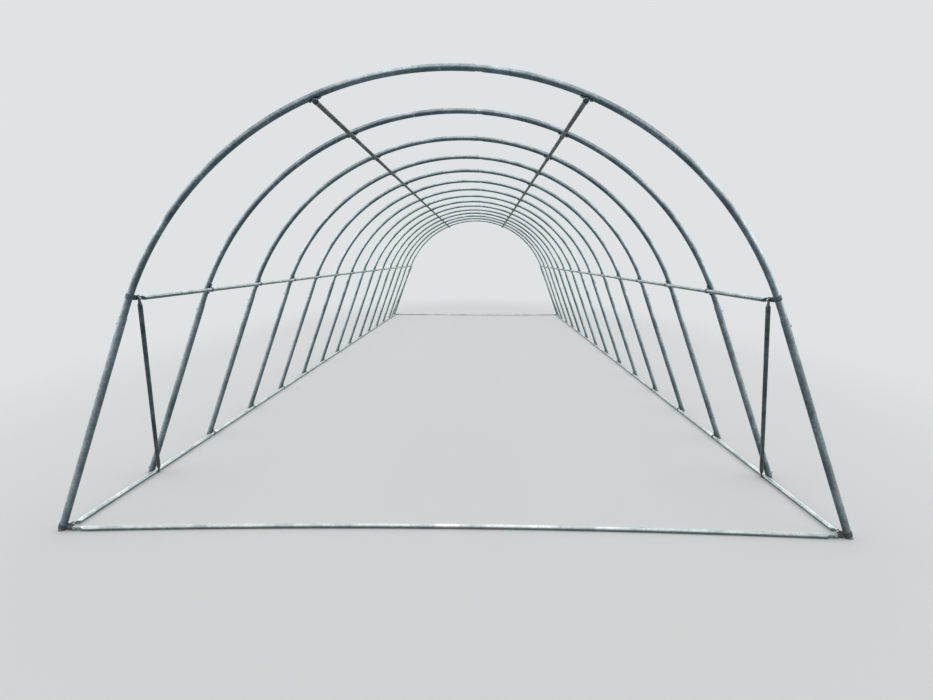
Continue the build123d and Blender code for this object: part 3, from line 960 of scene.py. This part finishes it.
def screwShell(size=1.0, seatR=None):
    # Flanged head of a self-drilling screw; on a tube of seatR the flange reaches down to it
    flangeR, flange = size * fastener["flangeR"], size * fastener["flange"]
    sink = seatR - sqrt(seatR ** 2 - flangeR ** 2) if seatR else 0.0
    shell = turnedSkin(newShell(), [
        (-sink, flangeR, 0.0), (flange, flangeR * fastener["flangeShare"], 0.0)])
    hexHead(shell, flange, size * fastener["screwHead"], size * fastener["screwFlatR"], 1)
    return shell


def placeFasteners(name, shell, spots, seed):
    # spots holds (point, direction of the head)
    model = newObject(name + "Model", meshFrom(name + "Model", shell, fastener["sharpAngle"]))
    points = bpy.data.meshes.new(name)
    points.from_pydata([spot for spot, _ in spots], [], [])
    axis = points.attributes.new("axis", "FLOAT_VECTOR", "POINT")
    axis.data.foreach_set("vector", [value for _, way in spots for value in way])
    piece = newObject(name, points)
    runTree(piece, fastenerTree, {"Fastener": model, "Seed": seed, "Finish": platedBolt})
    bpy.data.objects.remove(model)
    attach(piece, "root")


def mirrored(spots, flip):
    return spots + [(point * flip, way * flip) for point, way in spots]


def atCorners(spots):
    return mirrored(mirrored(spots, otherSide), otherEnd)


def seatSpot(at, y, x, up, depth, headOut):
    seat = seatAt(at, y)
    return seat @ Vector((x, up, -depth)), direction(seat, 0, 0, 1 if headOut else -1)


def lugBolts(at, hoopR, layers):
    top = hoopR + seatGap
    stack = lugFace(hoopR, layers) + flat["thick"] - top
    spot = seatSpot(at, hoopY[0], boltAt, 0, top + stack / 2, False)
    return boltShell(stack), atCorners([spot])


otherSide, otherEnd = Vector((-1, 1, 1)), Vector((1, -1, 1))
legScrewAt = leg["length"] - jointScrew["belowLegTop"]
legJoints = mirrored([seatSpot(legScrewAt, y, 0, 0, -legR, True) for y in hoopY], otherSide)
crownScrewAt = crownAt - arch["pastCrown"] + jointScrew["beforeTubeEnd"]
crownJoints = [seatSpot(crownScrewAt, y, 0, 0, -archR, True) for y in hoopY]
barStack = hoopY[0] - barY + flat["thick"]
barLugs = atCorners([(Vector((barBoltX, hoopY[0] - barStack / 2, barZ)), Vector((0, -1, 0)))])
footNormal = direction(seatAt(baseAt), 0, 0, 1)
footInner = 2 * legR + 2 * (seatGap + railR) + seatGap + 2 * flat["thick"]
footCentre = braceFoot + footNormal * (footInner / 2 - flat["thick"])
braceFeet = atCorners([(footCentre, -footNormal)])

earMiddle = strapReach - strap["ear"] / 2
earFace = archR + seatGap + earRise + strip
strapSpots = []
for at, (first, last) in ((sideAt, sideHoops), (purlinAt, purlinHoops)):
    for y in hoopY[first - 1:last]:
        strapSpots += [seatSpot(at, y, 0, up, earFace, False) for up in (earMiddle, -earMiddle)]
for y in hoopY[hookHoops[0] - 1:hookHoops[1]]:
    strapSpots.append(seatSpot(baseAt, y, 0, earMiddle, legR + seatGap + strip, False))

fittings = (
    ("legJointScrews", screwShell(jointScrew["size"], legR), legJoints, 3),
    ("crownScrews", screwShell(jointScrew["size"], archR), crownJoints, 5),
    ("sideLugBolts", *lugBolts(sideAt, archR, 1), 7),
    ("baseLugBolts", *lugBolts(baseAt, legR, 0), 11),
    ("groundBarBolts", boltShell(barStack), barLugs, 13),
    ("braceFootBolts", boltShell(footInner), braceFeet, 17),
    ("strapScrews", screwShell(), mirrored(strapSpots, otherSide), 19),
)
for name, shell, spots, seed in fittings:
    placeFasteners(name, shell, spots, seed)
print("fasteners:", sum(len(spots) for _, _, spots, _ in fittings))


# Studio: pale floor fading into a pale background, softboxes overhead and at both sides
studio = {
    "floorRadius": 90.0, "floorSides": 96, "floorRough": 0.85, "floorSpecular": 0.1,
    "fadeAcross": 3.6, "fadeAlong": 8.8,
    "fadeEnds": 1.9,  # times the distance where the fade begins
    "floor": "#d5d8d7", "background": "#dfe3e5", "fill": 0.37,
    "overheadSize": (7.0, 44.0), "overheadHeight": 8.0, "overheadGlow": 0.9,
    "sideSize": (6.0, 36.0), "sideX": 9.0, "sideHeight": 5.0, "sideGlow": 1.4,
}


def makeFloor():
    mesh = bpy.data.meshes.new("floor")
    radius, count = studio["floorRadius"], studio["floorSides"]
    turns = [2 * pi * i / count for i in range(count)]
    rim = [(radius * cos(turn), radius * sin(turn), cadBox[0].z) for turn in turns]
    mesh.from_pydata(rim, [], [list(range(count))])
    material = bpy.data.materials.new("paleFloor")
    material.use_nodes = True
    tree = material.node_tree
    shader = tree.nodes["Principled BSDF"]
    setInputs(tree, shader, {
        "Base Color": linear(studio["floor"]), "Roughness": studio["floorRough"],
        "Specular IOR Level": studio["floorSpecular"]})
    place = addNode(tree, "ShaderNodeTexCoord").outputs["Object"]
    squeezed = addNode(tree, "ShaderNodeMapping", {
        "Vector": place, "Scale": (1 / studio["fadeAcross"], 1 / studio["fadeAlong"], 1.0)})
    away = addNode(tree, "ShaderNodeVectorMath", {0: squeezed}, operation="LENGTH").outputs["Value"]
    fade = addNode(tree, "ShaderNodeMapRange", {
        "Value": away, "From Min": 1.0, "From Max": studio["fadeEnds"]},
        interpolation_type="SMOOTHSTEP")
    glow = addNode(tree, "ShaderNodeEmission", {"Color": linear(studio["background"]), "Strength": 1.0})
    mixed = addNode(tree, "ShaderNodeMixShader", {0: fade, 1: shader, 2: glow})
    setInputs(tree, tree.nodes["Material Output"], {0: mixed})
    mesh.materials.append(material)
    floor = newObject("floor", mesh)


def makeWorld():
    # Pale for the camera and in reflections; the fill light on the object is weaker
    world = bpy.data.worlds.new("studioWorld")
    world.use_nodes = True
    tree = world.node_tree
    rays = addNode(tree, "ShaderNodeLightPath").outputs
    seen = addNode(tree, "ShaderNodeMath", {
        0: rays["Is Camera Ray"], 1: rays["Is Glossy Ray"]}, operation="MAXIMUM")
    strength = addNode(tree, "ShaderNodeMapRange", {
        "Value": seen, "To Min": studio["fill"], "To Max": 1.0})
    setInputs(tree, tree.nodes["Background"], {
        "Color": linear(studio["background"]), "Strength": strength})
    scene.world = world


def makeSoftbox(name, kind, x):
    # Aimed at the tunnel's middle line; the glow is how bright its face is
    data = bpy.data.lights.new(name, "AREA")
    data.shape = "RECTANGLE"
    data.size, data.size_y = wide, long = studio[kind + "Size"]
    data.energy = studio[kind + "Glow"] * pi * wide * long
    lamp = newObject(name, data)
    place = Vector((x, 0, studio[kind + "Height"]))
    away = place.normalized()
    lamp.matrix_world = axesAt(place, unitY.cross(away), unitY, away)
    lamp.visible_camera = False


makeFloor()
makeWorld()
makeSoftbox("overheadSoftbox", "overhead", 0)
for side, sign in sides.items():
    makeSoftbox(side + "Softbox", "side", sign * studio["sideX"])

# Camera: at eye height, looking down the tunnel; angles are in degrees
view = {"x": 0.171, "ahead": 3.823, "height": 1.553, "pitch": 7.464, "yaw": -1.247, "roll": 0.112,
        "focalPixels": 705.3, "imageWidth": 933.0, "sensorWidth": 36.0}


def makeCamera():
    pitch, yaw, roll = (radians(view[key]) for key in ("pitch", "yaw", "roll"))
    forward = Vector((sin(yaw) * cos(pitch), cos(yaw) * cos(pitch), -sin(pitch)))
    level = Vector((cos(yaw), -sin(yaw), 0))
    upright = level.cross(forward)
    right = level * cos(roll) + upright * sin(roll)
    up = upright * cos(roll) - level * sin(roll)
    data = bpy.data.cameras.new("eye")
    data.sensor_width = view["sensorWidth"]
    data.sensor_fit = "HORIZONTAL"
    data.lens = view["focalPixels"] / view["imageWidth"] * data.sensor_width
    camera = newObject("eye", data)
    eye = Vector((view["x"], hoopY[0] - view["ahead"], view["height"]))
    camera.matrix_world = axesAt(eye, right, up, -forward)
    scene.camera = camera


makeCamera()
scene.view_settings.view_transform = "Standard"
print("studio and camera ready")
